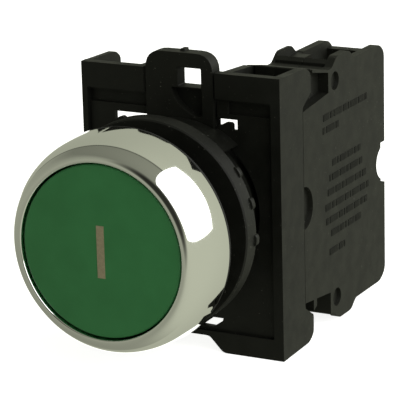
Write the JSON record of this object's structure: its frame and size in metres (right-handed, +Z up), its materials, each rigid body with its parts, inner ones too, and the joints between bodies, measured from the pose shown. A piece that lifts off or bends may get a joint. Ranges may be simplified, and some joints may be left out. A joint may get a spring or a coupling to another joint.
{
  "type": "push button",
  "caption": "Momentary panel push button with a chrome ring, green flush cap, three-bay fixing adapter and a normally open screw-terminal contact block",
  "frame": {"origin": "on the button's axis, in the plane of the panel's front face, which is the rear face of the gasket", "axes": "-Y out of the panel towards the user's finger, +Y back into the panel, +X to the right seen from the front, +Z up"},
  "size_m": [0.03, 0.0564, 0.0418],
  "materials": {
    "chrome_ring": "polished",
    "green_cap": "fine satin",
    "legend_ink": "printed",
    "black_plastic": "fine grained",
    "housing_plastic": "fine grained",
    "gasket_rubber": "soft matt",
    "white_plastic": "moulded",
    "spring_steel": "drawn wire",
    "contact_brass": "stamped",
    "contact_silver": "pressed silver alloy",
    "plated_steel": "zinc plated"
  },
  "bodies": {
    "fixed": {"bezel_ring": "chrome_ring", "operator_body": "black_plastic", "panel_gasket": "gasket_rubber", "spring_seat": "black_plastic", "return_spring": "spring_steel", "adapter_frame": "black_plastic", "contact_housing_left": "housing_plastic", "contact_housing_right": "housing_plastic", "plunger_return_spring": "spring_steel", "fixed_contact_upper": "contact_brass", "fixed_contact_lower": "contact_brass", "fixed_tip_upper": "contact_silver", "fixed_tip_lower": "contact_silver"},
    "button": {"button_cap": "green_cap", "legend_bar": "legend_ink", "plunger": "white_plastic", "plunger_seal": "gasket_rubber"},
    "slide": {"locking_slide": "black_plastic"},
    "carriage": {"contact_plunger": "white_plastic", "contact_spring": "spring_steel"},
    "bridge": {"contact_bridge": "contact_brass", "bridge_tip_upper": "contact_silver", "bridge_tip_lower": "contact_silver"},
    "clamp_upper": {"terminal_clamp_upper": "plated_steel"},
    "screw_upper": {"terminal_screw_upper": "plated_steel"},
    "clamp_lower": {"terminal_clamp_lower": "plated_steel"},
    "screw_lower": {"terminal_screw_lower": "plated_steel"}
  },
  "joints": [
    {"name": "button_press", "type": "slide", "parent": "fixed", "child": "button", "axis": [0, 1, 0], "range_m": [0, 0.0045], "stiffness_N_per_m": 600, "springref_m": -0.003, "deforming": ["return_spring"]},
    {"name": "carriage_press", "type": "slide", "parent": "fixed", "child": "carriage", "axis": [0, 1, 0], "range_m": [0, 0.0045], "deforming": ["plunger_return_spring", "contact_spring"]},
    {"name": "bridge_close", "type": "slide", "parent": "fixed", "child": "bridge", "axis": [0, 1, 0], "range_m": [0, 0.00225]},
    {"name": "slide_lift", "type": "slide", "parent": "fixed", "child": "slide", "axis": [0, 0, 1], "range_m": [0, 0.002], "stiffness_N_per_m": 400, "springref_m": -0.002},
    {"name": "clamp_upper_travel", "type": "slide", "parent": "fixed", "child": "clamp_upper", "axis": [0, -1, 0], "range_m": [0, 0.0012]},
    {"name": "screw_upper_turn", "type": "hinge", "parent": "clamp_upper", "child": "screw_upper", "pos_m": [0.0103, 0.044, 0.0123], "axis": [0, -1, 0], "range_deg": [0, 865]},
    {"name": "clamp_lower_travel", "type": "slide", "parent": "fixed", "child": "clamp_lower", "axis": [0, -1, 0], "range_m": [0, 0.0012]},
    {"name": "screw_lower_turn", "type": "hinge", "parent": "clamp_lower", "child": "screw_lower", "pos_m": [0.0103, 0.044, -0.0131], "axis": [0, -1, 0], "range_deg": [0, 865]}
  ],
  "couplings": [
    {"joint": "carriage_press", "follows": "button_press", "ratio": 1},
    {"joint": "bridge_close", "follows": "button_press", "ratio": 0.5},
    {"joint": "screw_upper_turn", "follows": "clamp_upper_travel", "rad_per_m": 12566},
    {"joint": "screw_lower_turn", "follows": "clamp_lower_travel", "rad_per_m": 12566}
  ]
}
